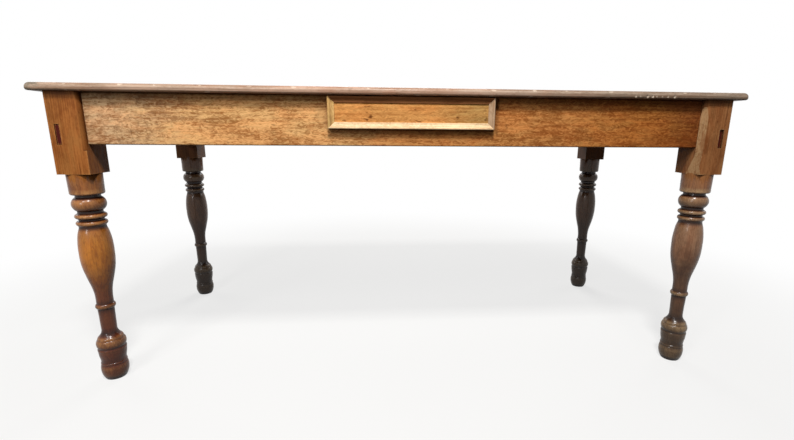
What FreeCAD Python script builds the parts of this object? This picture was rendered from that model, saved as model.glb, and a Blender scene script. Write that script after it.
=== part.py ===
import FreeCAD, Part
import Sketcher
import os

# A farmhouse table: five boards glued into one top, four turned legs with square blocks,
# four rails tenoned into the blocks, and one drawer that slides in a notch of the front rail.
# X runs along the table, Y from its front to its back and Z up. The origin lies on the floor,
# under the middle of the top. All sizes are in millimetres.

document = FreeCAD.newDocument("FarmhouseTable")

SIZES = {
    # The top.
    "top_length": 1739,
    "top_width": 719,
    "top_thickness": 18,
    "table_height": 762,
    "top_corner_radius": 12,
    "top_upper_round": 11,
    "top_lower_round": 5,
    "end_overhang": 34,
    "side_overhang": 13,
    # The legs.
    "leg_block_width": 76,
    "leg_block_length": 191,
    "leg_arris_radius": 9,
    "leg_arris_stop": 14,
    # The rails.
    "rail_height": 121,
    "rail_thickness": 22,
    "long_rail_setback": 9.5,
    "end_rail_setback": 7,
    "rail_edge_chamfer": 2,
    # The joints between the rails and the legs.
    "tenon_thickness": 11,
    "tenon_shoulder": 10,
    "tenon_play": 0.2,
    "mortise_wall": 5,
    "through_tenon_height": 47,
    "haunch_length": 14,
    "tenon_recess_left": 1.5,
    "tenon_recess_right": 4,
    # The drawer and the notch that it slides in.
    "opening_width": 394,
    "opening_depth": 72,
    "drawer_offset": 9,
    "side_play": 1,
    "top_play": 2,
    "running_gap": 0.3,
    "drawer_length": 480,
    "drawer_front_thickness": 20,
    "drawer_side_thickness": 11,
    "drawer_side_drop": 4,
    "drawer_back_thickness": 11,
    "dovetail_length": 14,
    "drawer_bottom_thickness": 7,
    "groove_height": 8,
    "groove_depth": 5,
    # The lip of the drawer front, which laps over the rail, and the mitred moulding on it.
    "lip_lap": 8,
    "lip_thickness": 8,
    "moulding_width": 16,
    "moulding_rise": 6.5,
    "moulding_inner_rise": 2,
    # The runners, guides and glue blocks inside the frame.
    "runner_width": 34,
    "runner_height": 30,
    "runner_inset": 3,
    "runner_tenon_length": 8,
    "runner_shoulder": 6,
    "guide_height": 24,
    "glue_block_length": 60,
    "glue_block_side": 22,
    "glue_block_margin": 70,
}

# The five boards of the top from the front to the back, and the lines where they end, as
# shares of the top's width from its middle.
BOARDS = [
    "top_board_front",
    "top_board_front_middle",
    "top_board_middle",
    "top_board_back_middle",
    "top_board_back",
]
BOARD_EDGE_SHARES = [-0.5, -0.31, -0.09, 0.11, 0.32, 0.5]

THROUGH = "through"

# The turned part of a leg from the floor up. Each point is a height, as a share of the turned
# length, and a radius, as a share of half the block's width. A point marked THROUGH bends the
# line between its neighbours into an arc.
TURNING_SHARES = [
    # The flat of the foot and its round bulb.
    (0.000, 0.632),
    (0.022, 0.780, THROUGH),
    (0.052, 0.842),
    (0.065, 0.829, THROUGH),
    (0.074, 0.795),
    # A thin bead on the bulb's shoulder.
    (0.078, 0.771),
    (0.082, 0.797, THROUGH),
    (0.088, 0.763),
    # The waist, and the cup that widens over it to a rounded lip.
    (0.098, 0.766, THROUGH),
    (0.112, 0.800),
    (0.130, 0.843, THROUGH),
    (0.149, 0.868),
    (0.155, 0.873, THROUGH),
    (0.160, 0.842),
    # The large bead of the foot, and a smaller one over it.
    (0.164, 0.832),
    (0.183, 0.905, THROUGH),
    (0.2005, 0.838),
    (0.2035, 0.800),
    (0.212, 0.775, THROUGH),
    (0.2195, 0.695),
    # The shoulder that sweeps in to the slim ankle.
    (0.231, 0.560, THROUGH),
    (0.250, 0.465),
    # The ankle and its ring.
    (0.360, 0.495),
    (0.3725, 0.600, THROUGH),
    (0.385, 0.505),
    # The vase: a slim stem that swells to its widest two thirds of the way up.
    (0.409, 0.505),
    (0.452, 0.550, THROUGH),
    (0.496, 0.693),
    (0.524, 0.792),
    (0.575, 0.940, THROUGH),
    (0.626, 0.993),
    (0.673, 0.983, THROUGH),
    (0.716, 0.914),
    (0.734, 0.863, THROUGH),
    (0.749, 0.795),
    # Two thin rings with a deep groove between them.
    (0.757, 0.765),
    (0.763, 0.765),
    (0.767, 0.800),
    (0.7765, 0.883, THROUGH),
    (0.786, 0.800),
    (0.790, 0.705),
    (0.794, 0.705),
    (0.7985, 0.805),
    (0.8085, 0.902, THROUGH),
    (0.8185, 0.805),
    (0.823, 0.717),
    # The neck and the large ring.
    (0.832, 0.717),
    (0.868, 0.962, THROUGH),
    (0.895, 0.715),
    # The upper neck and the plain collar under the block, with its rounded lip.
    (0.904, 0.697),
    (0.907, 0.905),
    (0.911, 0.955, THROUGH),
    (0.917, 0.968),
    (1.000, 0.990),
]

# The dovetails at each corner of the drawer: where the middle of each tail lies, and half its
# width at its root and at its tip, as shares of the joint's height.
TAIL_MIDDLE_SHARES = [0.25, 0.75]
TAIL_ROOT_SHARE = 0.135
TAIL_TIP_SHARE = 0.18

# How much of a glue block's side is left square beside its bevel.
BLOCK_LAND_SHARE = 0.25

# The moulding's section. Each point is a distance from its outer edge, as a share of its width,
# and a height off the drawer front, as a share of the rise from the inner edge to the crest.
MOULDING_SHARES = [
    (0.00, 0.65),
    (0.045, 0.87, THROUGH),
    (0.14, 1.00),
    (0.27, 0.90, THROUGH),
    (0.38, 0.68),
    (0.56, 0.26, THROUGH),
    (0.86, 0.06),
    (1.00, 0.06),
]


class Length:
    """A size of the model, together with the sheet formula that gives it."""

    def __init__(self, value, formula):
        self.value = float(value)
        self.formula = formula

    def __add__(self, other):
        other = as_length(other)
        return Length(self.value + other.value, f"({self.formula} + {other.formula})")

    def __sub__(self, other):
        other = as_length(other)
        return Length(self.value - other.value, f"({self.formula} - {other.formula})")

    def __mul__(self, factor):
        return Length(self.value * factor, f"({self.formula} * {factor})")

    def __truediv__(self, divisor):
        return Length(self.value / divisor, f"({self.formula} / {divisor})")

    def __neg__(self):
        return Length(-self.value, f"(0 - {self.formula})")

    __rmul__ = __mul__


def as_length(number):
    """A plain number as a Length, so that both can stand in one sum."""
    if isinstance(number, Length):
        return number
    return Length(number, str(number))


class Sheet:
    """The spreadsheet of driving sizes. Each of its sizes is read as an attribute."""

    def __init__(self, sizes):
        self.cells = document.addObject("Spreadsheet::Sheet", "Sizes")
        for row, (name, number) in enumerate(sizes.items(), start=1):
            self.cells.set(f"A{row}", name)
            self.cells.set(f"B{row}", str(number))
            self.cells.setAlias(f"B{row}", name)
        document.recompute()

    def __getattr__(self, name):
        return Length(self.cells.get(name), f"Sizes.{name}")


def bind(thing, path, length):
    """Tie one property of an object to the sheet."""
    length = as_length(length)
    if "Sizes." in length.formula:
        thing.setExpression(path, length.formula)


def new_body(label, place, turn=0, about=(0, 0, 1)):
    """Start a piece whose own origin lies at a place of the table, turned about an axis."""
    body = document.addObject("PartDesign::Body", label)
    body.Label = label
    rotation = FreeCAD.Rotation(FreeCAD.Vector(*about), turn)
    body.Placement = FreeCAD.Placement(FreeCAD.Vector(0, 0, 0), rotation)
    for axis, distance in zip("xyz", place):
        bind(body, f"Placement.Base.{axis}", distance)
    return body


def new_sketch(body, name, role, offset=0):
    """Start a sketch on one of the body's own origin planes, or at an offset from it."""
    sketch = body.newObject("Sketcher::SketchObject", name)
    plane = next(item for item in body.Origin.OriginFeatures if item.Role == role)
    sketch.AttachmentSupport = [(plane, "")]
    sketch.MapMode = "FlatFace"
    bind(sketch, "AttachmentOffset.Base.z", offset)
    return sketch


def flat_vector(point):
    """The sketch position of a point that is given by two lengths."""
    return FreeCAD.Vector(as_length(point[0]).value, as_length(point[1]).value, 0)


def hold_point(sketch, geometry, end, point):
    """Fix a point of a sketch by its two distances from the sketch's origin."""
    for kind, distance in zip(("DistanceX", "DistanceY"), point):
        distance = as_length(distance)
        rule = Sketcher.Constraint(kind, -1, 1, geometry, end, distance.value)
        number = sketch.addConstraint(rule)
        bind(sketch, f"Constraints[{number}]", distance)


def nearest_end(sketch, geometry, point):
    """Which end of an edge, 1 or 2, lies at a point."""
    target = flat_vector(point)
    gaps = {end: (sketch.getPoint(geometry, end) - target).Length for end in (1, 2)}
    return min(gaps, key=gaps.get)


def outline(sketch, points):
    """Draw a closed outline. A point marked THROUGH bends the line across it into an arc."""
    corners = [number for number, point in enumerate(points) if THROUGH not in point]
    edges = []
    for start, stop in zip(corners, corners[1:] + [corners[0] + len(points)]):
        first = points[start]
        last = points[stop % len(points)]
        if stop - start == 1:
            edge = sketch.addGeometry(Part.LineSegment(flat_vector(first), flat_vector(last)), False)
        else:
            middle = points[start + 1]
            arc = Part.Arc(flat_vector(first), flat_vector(middle), flat_vector(last))
            edge = sketch.addGeometry(arc, False)
            mark = sketch.addGeometry(Part.Point(flat_vector(middle)), True)
            hold_point(sketch, mark, 1, middle[:2])
            sketch.addConstraint(Sketcher.Constraint("PointOnObject", mark, 1, edge))
        begin = nearest_end(sketch, edge, first)
        hold_point(sketch, edge, begin, first)
        edges.append((edge, begin, 3 - begin))
    for (edge, _, finish), (follower, begin, _) in zip(edges, edges[1:] + edges[:1]):
        sketch.addConstraint(Sketcher.Constraint("Coincident", edge, finish, follower, begin))


def pad(body, sketch, length, backwards=False):
    """Raise a sketch into a solid."""
    feature = body.newObject("PartDesign::Pad", f"{sketch.Name}Pad")
    feature.Profile = sketch
    feature.Reversed = backwards
    bind(feature, "Length", length)
    return feature


def pocket(body, sketch, length, backwards=False):
    """Cut a sketch into the solid, against the sketch's own direction unless backwards."""
    feature = body.newObject("PartDesign::Pocket", f"{sketch.Name}Pocket")
    feature.Profile = sketch
    feature.Reversed = backwards
    bind(feature, "Length", length)
    return feature


def square_block(body, kind, name, corner, opposite):
    """Add or cut a square-edged block between two corners, given in either order."""
    feature = body.newObject(f"PartDesign::{kind}Box", name)
    for side, axis, one, other in zip(("Length", "Width", "Height"), "xyz", corner, opposite):
        low, high = sorted((as_length(one), as_length(other)), key=lambda length: length.value)
        bind(feature, side, high - low)
        bind(feature, f"Placement.Base.{axis}", low)
    return feature


def add_block(body, name, corner, opposite):
    return square_block(body, "Additive", name, corner, opposite)


def cut_block(body, name, corner, opposite):
    return square_block(body, "Subtractive", name, corner, opposite)


def edge_along(shape, ends):
    """The name of the edge whose two ends lie at the given points."""
    targets = [FreeCAD.Vector(*(as_length(part).value for part in end)) for end in ends]
    for number, edge in enumerate(shape.Edges, start=1):
        places = [vertex.Point for vertex in edge.Vertexes]
        if all(any(place.isEqual(target, 1e-4) for place in places) for target in targets):
            return f"Edge{number}"
    raise ValueError("no edge lies between the given points")


def face_at_height(shape, height):
    """The name of the level face at a height."""
    for number, face in enumerate(shape.Faces, start=1):
        box = face.BoundBox
        if box.ZLength < 1e-4 and abs(box.ZMin - height.value) < 1e-4:
            return f"Face{number}"
    raise ValueError("no level face at the given height")


size = Sheet(SIZES)

# Places that several pieces share.
half_block = size.leg_block_width / 2
leg_x = size.top_length / 2 - size.end_overhang - half_block
leg_y = size.top_width / 2 - size.side_overhang - half_block
top_underside = size.table_height - size.top_thickness
block_bottom = top_underside - size.leg_block_length
rail_bottom = top_underside - size.rail_height
long_rail_face = leg_y + half_block - size.long_rail_setback
end_rail_face = leg_x + half_block - size.end_rail_setback
opening_bottom = size.rail_height - size.opening_depth

# The end rails' tenons run through the legs outside the long rails' tenons, which stop short
# of them by a wall of wood.
tenon_inset = (size.rail_thickness - size.tenon_thickness) / 2
through_tenon_inner = size.end_rail_setback + size.rail_thickness - tenon_inset
long_tenon_length = size.leg_block_width - through_tenon_inner - size.mortise_wall - size.tenon_play

# The drawer, measured from the lower edge of its front.
drawer_width = size.opening_width - 2 * size.side_play
drawer_front_height = size.opening_depth - size.running_gap - size.top_play
drawer_side_height = drawer_front_height - size.drawer_side_drop
drawer_inner_half = drawer_width / 2 - size.drawer_side_thickness
lip_half_width = size.opening_width / 2 + size.lip_lap
groove_top = size.groove_height + size.drawer_bottom_thickness + 2 * size.tenon_play
drawer_place = (
    size.drawer_offset,
    -(long_rail_face + size.running_gap),
    rail_bottom + opening_bottom + size.running_gap,
)

# The runners lie under the drawer sides, and the guides stand on them beside the opening.
runner_inner = drawer_inner_half - size.runner_inset
runner_outer = runner_inner + size.runner_width


def make_top():
    """Glue up the five boards, with the edge worked on all of them as one piece."""
    half_length = size.top_length / 2
    half_width = size.top_width / 2
    corner = size.top_corner_radius
    bend = corner * (1 - 0.5 ** 0.5)
    points = []
    for x_sign, y_sign in ((1, -1), (1, 1), (-1, 1), (-1, -1)):
        across = (x_sign * (half_length - corner), y_sign * half_width)
        middle = (x_sign * (half_length - bend), y_sign * (half_width - bend), THROUGH)
        along = (x_sign * half_length, y_sign * (half_width - corner))
        arc = [across, middle, along]
        points += arc if x_sign * y_sign < 0 else arc[::-1]
    blank = new_body("top_blank", (0, 0, top_underside))
    sketch = new_sketch(blank, "TopPlan", "XY_Plane")
    outline(sketch, points)
    slab = pad(blank, sketch, size.top_thickness)
    document.recompute()
    upper = blank.newObject("PartDesign::Fillet", "TopUpperRound")
    upper.Base = (slab, [face_at_height(slab.Shape, size.top_thickness)])
    bind(upper, "Radius", size.top_upper_round)
    document.recompute()
    lower = blank.newObject("PartDesign::Fillet", "TopLowerRound")
    lower.Base = (upper, [face_at_height(upper.Shape, as_length(0))])
    bind(lower, "Radius", size.top_lower_round)

    boards = []
    for label, front_share, back_share in zip(BOARDS, BOARD_EDGE_SHARES, BOARD_EDGE_SHARES[1:]):
        front = size.top_width * front_share
        strip = document.addObject("Part::Box", f"{label}_strip")
        bind(strip, "Length", size.top_length)
        bind(strip, "Width", size.top_width * back_share - front)
        bind(strip, "Height", size.top_thickness)
        bind(strip, "Placement.Base.x", -half_length)
        bind(strip, "Placement.Base.y", front)
        bind(strip, "Placement.Base.z", top_underside)
        board = document.addObject("Part::Common", label)
        board.Label = label
        board.Base = blank
        board.Tool = strip
        boards.append(board)
    return boards


def make_leg(label, x_sign, y_sign):
    """Turn one leg under its square block, and cut its mortises."""
    body = new_body(label, (x_sign * leg_x, y_sign * leg_y, 0))
    sketch = new_sketch(body, "BlockPlan", "XY_Plane", block_bottom)
    outline(sketch, [
        (-half_block, -half_block),
        (half_block, -half_block),
        (half_block, half_block),
        (-half_block, half_block),
    ])
    pad(body, sketch, size.leg_block_length)

    sketch = new_sketch(body, "TurnedProfile", "XZ_Plane")
    points = [(0, 0)]
    for height_share, radius_share, *mark in TURNING_SHARES:
        points.append((half_block * radius_share, block_bottom * height_share, *mark))
    points.append((0, block_bottom))
    outline(sketch, points)
    turned = body.newObject("PartDesign::Revolution", "Turning")
    turned.Profile = sketch
    turned.ReferenceAxis = (sketch, ["V_Axis"])
    turned.Angle = 360

    if y_sign < 0:
        round_arris(body, -x_sign)

    inner_x = -x_sign * half_block
    rail_middle = y_sign * (half_block - size.long_rail_setback - size.rail_thickness / 2)
    half_slot = size.tenon_thickness / 2 + size.tenon_play
    slot_top = rail_bottom + size.rail_height - size.tenon_shoulder + size.tenon_play
    cut_block(
        body, "LongRailMortise",
        (inner_x, rail_middle - half_slot, rail_bottom + size.tenon_shoulder - size.tenon_play),
        (inner_x + x_sign * (long_tenon_length + size.tenon_play), rail_middle + half_slot, slot_top),
    )
    inner_y = -y_sign * half_block
    end_middle = x_sign * (half_block - size.end_rail_setback - size.rail_thickness / 2)
    through_top = rail_bottom + size.through_tenon_height + size.tenon_play
    cut_block(
        body, "ThroughMortise",
        (end_middle - half_slot, inner_y, rail_bottom - size.tenon_play),
        (end_middle + half_slot, -inner_y, through_top),
    )
    haunch_end = inner_y + y_sign * (size.haunch_length + size.tenon_play)
    cut_block(
        body, "HaunchMortise",
        (end_middle - half_slot, inner_y, through_top),
        (end_middle + half_slot, haunch_end, slot_top),
    )
    return body


def round_arris(body, side):
    """Round the inner front edge of a front leg, down to a stop just under the rail."""
    edge_x = side * half_block
    edge_y = -half_block
    radius = size.leg_arris_radius
    bend = radius * (1 - 0.5 ** 0.5)
    stop = rail_bottom - size.leg_arris_stop
    sketch = new_sketch(body, "ArrisPlan", "XY_Plane", stop)
    outline(sketch, [
        (edge_x, edge_y),
        (edge_x, edge_y + radius),
        (edge_x - side * bend, edge_y + bend, THROUGH),
        (edge_x - side * radius, edge_y),
    ])
    return pocket(body, sketch, top_underside - stop, backwards=True)


def make_long_rail(label, turn, notched):
    """Saw one long rail, with a tenon at each end and two mortises for the drawer runners."""
    side = -1 if turn == 0 else 1
    body = new_body(label, (0, side * long_rail_face, rail_bottom), turn)
    half_length = leg_x - half_block
    height = size.rail_height
    drawer_middle = size.drawer_offset * -side
    sketch = new_sketch(body, "RailFront", "XZ_Plane")
    points = [(-half_length, 0), (half_length, 0), (half_length, height)]
    if notched:
        half_opening = size.opening_width / 2
        points += [
            (drawer_middle + half_opening, height),
            (drawer_middle + half_opening, opening_bottom),
            (drawer_middle - half_opening, opening_bottom),
            (drawer_middle - half_opening, height),
        ]
    points.append((-half_length, height))
    outline(sketch, points)
    board = pad(body, sketch, size.rail_thickness, backwards=True)
    document.recompute()
    chamfer = body.newObject("PartDesign::Chamfer", "LowerEdge")
    chamfer.Base = (board, [edge_along(board.Shape, ((-half_length, 0, 0), (half_length, 0, 0)))])
    bind(chamfer, "Size", size.rail_edge_chamfer)
    for name, sign in (("TenonLeft", -1), ("TenonRight", 1)):
        add_block(
            body, name,
            (sign * half_length, tenon_inset, size.tenon_shoulder),
            (
                sign * (half_length + long_tenon_length),
                tenon_inset + size.tenon_thickness,
                height - size.tenon_shoulder,
            ),
        )
    for name, sign in (("RunnerMortiseLeft", -1), ("RunnerMortiseRight", 1)):
        slot_inner = runner_inner + size.runner_shoulder - size.tenon_play
        slot_outer = runner_outer - size.runner_shoulder + size.tenon_play
        slot_top = opening_bottom - size.runner_shoulder + size.tenon_play
        slot_bottom = opening_bottom - size.runner_height + size.runner_shoulder - size.tenon_play
        depth = size.runner_tenon_length + size.tenon_play
        cut_block(
            body, name,
            (drawer_middle + sign * slot_inner, size.rail_thickness - depth, slot_bottom),
            (drawer_middle + sign * slot_outer, size.rail_thickness, slot_top),
        )
    return body


def make_end_rail(label, side, front_recess):
    """Saw one end rail, whose haunched tenons run right through the legs."""
    body = new_body(label, (side * end_rail_face, 0, rail_bottom), side * 90)
    half_length = leg_y - half_block
    sketch = new_sketch(body, "RailFront", "XZ_Plane")
    outline(sketch, [
        (-half_length, 0),
        (half_length, 0),
        (half_length, size.rail_height),
        (-half_length, size.rail_height),
    ])
    board = pad(body, sketch, size.rail_thickness, backwards=True)
    document.recompute()
    chamfer = body.newObject("PartDesign::Chamfer", "LowerEdge")
    chamfer.Base = (board, [edge_along(board.Shape, ((-half_length, 0, 0), (half_length, 0, 0)))])
    bind(chamfer, "Size", size.rail_edge_chamfer)
    through_length = size.leg_block_width - size.tenon_recess_left
    for name, sign in (("Front", -side), ("Back", side)):
        length = size.leg_block_width - front_recess if name == "Front" else through_length
        add_block(
            body, f"Tenon{name}",
            (sign * half_length, tenon_inset, 0),
            (
                sign * (half_length + length),
                tenon_inset + size.tenon_thickness,
                size.through_tenon_height,
            ),
        )
        add_block(
            body, f"Haunch{name}",
            (sign * half_length, tenon_inset, size.through_tenon_height),
            (
                sign * (half_length + size.haunch_length),
                tenon_inset + size.tenon_thickness,
                size.rail_height - size.tenon_shoulder,
            ),
        )
    return body


def tail_outlines(root, tip, low, high, play=0):
    """The outlines of a row of dovetails between two heights, each root, tip, tip, root."""
    height = high - low
    half_root = height * TAIL_ROOT_SHARE + play
    half_tip = height * TAIL_TIP_SHARE + play
    outlines = []
    for middle_share in TAIL_MIDDLE_SHARES:
        middle = low + height * middle_share
        outlines.append([
            (root, middle - half_root),
            (tip, middle - half_tip),
            (tip, middle + half_tip),
            (root, middle + half_root),
        ])
    return outlines


def front_tails(play=0):
    """The tails that hold a drawer side in the front, from the root to the tip."""
    root = size.drawer_front_thickness
    tip = root - size.dovetail_length - play
    return tail_outlines(root, tip, as_length(0), drawer_side_height, play)


def back_tails(play=0):
    """The tails that hold a drawer side in the back, from the root to the tip."""
    root = size.drawer_length - size.drawer_back_thickness
    tip = size.drawer_length + as_length(0)
    return tail_outlines(root, tip, groove_top, drawer_side_height, play)


def cut_sockets(body, side, tails):
    """Cut the dovetail sockets into one end of the drawer's front or back."""
    for number, tail in enumerate(tails, start=1):
        name = f"Socket{'Right' if side > 0 else 'Left'}{number}"
        sketch = new_sketch(body, name, "YZ_Plane", side * (drawer_width / 2))
        outline(sketch, tail)
        pocket(body, sketch, size.drawer_side_thickness, backwards=side < 0)


def make_drawer_front():
    """The drawer's front, with a lip round it, lapped over the dovetails so that they don't show."""
    body = new_body("drawer_front", drawer_place)
    add_block(
        body, "FrontBoard",
        (-(drawer_width / 2), 0, 0),
        (drawer_width / 2, size.drawer_front_thickness, drawer_front_height),
    )
    add_block(
        body, "Lip",
        (-lip_half_width, -size.lip_thickness, -size.lip_lap),
        (lip_half_width, 0, drawer_front_height),
    )
    for side in (-1, 1):
        cut_sockets(body, side, front_tails(size.tenon_play))
    groove_half = drawer_inner_half + size.groove_depth
    groove_start = size.drawer_front_thickness - size.groove_depth
    cut_block(
        body, "BottomGroove",
        (-groove_half, groove_start, size.groove_height),
        (groove_half, size.drawer_front_thickness, groove_top),
    )
    return body


def make_drawer_side(label, side):
    """One drawer side, with its tails at both ends and the groove for the bottom."""
    body = new_body(label, drawer_place)
    sketch = new_sketch(body, "SideOutline", "YZ_Plane", side * drawer_inner_half)
    front = size.drawer_front_thickness
    back = size.drawer_length - size.drawer_back_thickness
    points = [(back, 0), (front, 0)]
    for tail in front_tails():
        points += tail
    points += [(front, drawer_side_height), (back, drawer_side_height)]
    for tail in reversed(back_tails()):
        points += reversed(tail)
    points += [(back, groove_top), (size.drawer_length, groove_top), (size.drawer_length, 0)]
    outline(sketch, points)
    pad(body, sketch, size.drawer_side_thickness, backwards=side < 0)
    cut_block(
        body, "BottomGroove",
        (side * drawer_inner_half, front - size.groove_depth, size.groove_height),
        (side * (drawer_inner_half + size.groove_depth), size.drawer_length, groove_top),
    )
    return body


def make_drawer_back():
    """The drawer's back, which stands on the bottom and is dovetailed to the sides."""
    body = new_body("drawer_back", drawer_place)
    add_block(
        body, "BackBoard",
        (-(drawer_width / 2), size.drawer_length - size.drawer_back_thickness, groove_top),
        (drawer_width / 2, size.drawer_length, drawer_side_height),
    )
    for side in (-1, 1):
        cut_sockets(body, side, back_tails(size.tenon_play))
    return body


def make_drawer_bottom():
    """The drawer's bottom, held in the grooves of the front and the sides."""
    body = new_body("drawer_bottom", drawer_place)
    half_width = drawer_inner_half + size.groove_depth - size.tenon_play
    low = size.groove_height + size.tenon_play
    front = size.drawer_front_thickness - size.groove_depth + size.tenon_play
    add_block(
        body, "BottomPanel",
        (-half_width, front, low),
        (half_width, size.drawer_length, low + size.drawer_bottom_thickness),
    )
    return body


def make_moulding(label, length, x, z, turn):
    """One strip of the drawer's frame: its moulded section, cut to a mitre at both ends."""
    place = (drawer_place[0] + x, drawer_place[1] - size.lip_thickness, drawer_place[2] + z)
    body = new_body(label, place, turn, about=(0, 1, 0))
    width = size.moulding_width
    rise = size.moulding_rise - size.moulding_inner_rise
    half_length = length / 2
    sketch = new_sketch(body, "Section", "YZ_Plane", -half_length)
    points = [(0, 0)]
    for width_share, rise_share, *mark in MOULDING_SHARES:
        height = size.moulding_inner_rise + rise * rise_share
        points.append((-height, width * width_share, *mark))
    points.append((0, width))
    outline(sketch, points)
    pad(body, sketch, length)
    for name, sign in (("MitreLeft", -1), ("MitreRight", 1)):
        sketch = new_sketch(body, name, "XZ_Plane")
        outline(sketch, [
            (sign * half_length, 0),
            (sign * half_length, width),
            (sign * (half_length - width), width),
        ])
        pocket(body, sketch, size.moulding_rise + size.moulding_inner_rise, backwards=True)
    return body


def make_mouldings():
    """The four strips, raised at their outer edge, that frame the drawer's front."""
    width = 2 * lip_half_width
    height = drawer_front_height + size.lip_lap
    middle = (drawer_front_height - size.lip_lap) / 2
    return [
        make_moulding("drawer_moulding_bottom", width, 0, -size.lip_lap, 0),
        make_moulding("drawer_moulding_top", width, 0, drawer_front_height, 180),
        make_moulding("drawer_moulding_left", height, -lip_half_width, middle, 90),
        make_moulding("drawer_moulding_right", height, lip_half_width, middle, -90),
    ]


def make_runner(label, side):
    """One runner, tenoned between the front and back rails under a drawer side."""
    body = new_body(label, (size.drawer_offset, 0, rail_bottom + opening_bottom))
    half_span = long_rail_face - size.rail_thickness
    add_block(
        body, "RunnerBar",
        (side * runner_inner, -half_span, -size.runner_height),
        (side * runner_outer, half_span, 0),
    )
    for name, sign in (("TenonFront", -1), ("TenonBack", 1)):
        add_block(
            body, name,
            (
                side * (runner_inner + size.runner_shoulder),
                sign * half_span,
                size.runner_shoulder - size.runner_height,
            ),
            (
                side * (runner_outer - size.runner_shoulder),
                sign * (half_span + size.runner_tenon_length),
                -size.runner_shoulder,
            ),
        )
    return body


def make_guide(label, side):
    """One guide, a strip on the runner that keeps the drawer straight as it slides."""
    body = new_body(label, (size.drawer_offset, 0, rail_bottom + opening_bottom))
    half_span = long_rail_face - size.rail_thickness
    add_block(
        body, "GuideStrip",
        (side * (size.opening_width / 2), -half_span, 0),
        (side * runner_outer, half_span, size.guide_height),
    )
    return body


def make_glue_blocks(label, place, turn, first, last, count):
    """A row of bevelled blocks, glued into the corner between a rail and the top."""
    body = new_body(label, place, turn)
    body.AllowCompound = True
    side = size.glue_block_side
    land = side * BLOCK_LAND_SHARE
    sketch = new_sketch(body, "BlockSection", "YZ_Plane", first)
    outline(sketch, [
        (0, 0),
        (0, -side),
        (land, -side),
        (side, -land),
        (side, 0),
    ])
    block = pad(body, sketch, size.glue_block_length)
    row = body.newObject("PartDesign::LinearPattern", "Row")
    row.Originals = [block]
    row.Direction = (sketch, ["N_Axis"])
    bind(row, "Length", last - first)
    row.Occurrences = count
    body.Tip = row
    return body


def make_all_glue_blocks():
    """The rows of glue blocks along all four rails, clear of the drawer and its guides."""
    inner_y = long_rail_face - size.rail_thickness
    inner_x = end_rail_face - size.rail_thickness
    margin = size.glue_block_margin
    length = size.glue_block_length
    corner_x = leg_x - half_block - margin
    corner_y = leg_y - half_block - margin
    drawer_left = size.drawer_offset - runner_outer - margin
    drawer_right = size.drawer_offset + runner_outer + margin
    return [
        make_glue_blocks(
            "glue_blocks_front_left", (0, -inner_y, top_underside), 0,
            -corner_x, drawer_left - length, 2,
        ),
        make_glue_blocks(
            "glue_blocks_front_right", (0, -inner_y, top_underside), 0,
            drawer_right, corner_x - length, 2,
        ),
        make_glue_blocks(
            "glue_blocks_back", (0, inner_y, top_underside), 180,
            -corner_x, corner_x - length, 5,
        ),
        make_glue_blocks(
            "glue_blocks_left", (-inner_x, 0, top_underside), -90,
            -corner_y, corner_y - length, 2,
        ),
        make_glue_blocks(
            "glue_blocks_right", (inner_x, 0, top_underside), 90,
            -corner_y, corner_y - length, 2,
        ),
    ]


def make_table():
    """Every piece of the table, in the order in which it is put together."""
    pieces = []
    for y_name, y_sign in (("front", -1), ("back", 1)):
        for x_name, x_sign in (("left", -1), ("right", 1)):
            pieces.append(make_leg(f"leg_{y_name}_{x_name}", x_sign, y_sign))
    pieces.append(make_long_rail("front_rail", 0, notched=True))
    pieces.append(make_long_rail("back_rail", 180, notched=False))
    pieces.append(make_end_rail("end_rail_left", -1, size.tenon_recess_left))
    pieces.append(make_end_rail("end_rail_right", 1, size.tenon_recess_right))
    pieces.append(make_runner("drawer_runner_left", -1))
    pieces.append(make_runner("drawer_runner_right", 1))
    pieces.append(make_guide("drawer_guide_left", -1))
    pieces.append(make_guide("drawer_guide_right", 1))
    pieces += make_all_glue_blocks()
    pieces += make_top()
    pieces.append(make_drawer_front())
    pieces.append(make_drawer_side("drawer_side_left", -1))
    pieces.append(make_drawer_side("drawer_side_right", 1))
    pieces.append(make_drawer_back())
    pieces.append(make_drawer_bottom())
    pieces += make_mouldings()
    return pieces


def check_and_export(pieces):
    """Stop on any feature that failed, then write each piece to a file of its own."""
    for thing in document.Objects:
        if "Invalid" in thing.State or "Error" in thing.State:
            raise RuntimeError(f"{thing.Name} of {thing.Label} failed: {thing.State}")
    for piece in pieces:
        if piece.Shape.isNull() or not piece.Shape.isValid():
            raise RuntimeError(f"{piece.Label} has no valid shape")
    os.makedirs("parts", exist_ok=True)
    for piece in pieces:
        piece.Shape.exportStep(f"parts/{piece.Label}.step")
        box = piece.Shape.BoundBox
        print(
            f"{piece.Label}: {len(piece.Shape.Solids)} solid, "
            f"{box.XLength:.1f} x {box.YLength:.1f} x {box.ZLength:.1f} mm, "
            f"{piece.Shape.Volume / 1000:.1f} cm3"
        )


table = make_table()
document.recompute()
check_and_export(table)
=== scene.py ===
import math
import random

import bmesh
import bpy
from mathutils import Matrix, Vector


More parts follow.
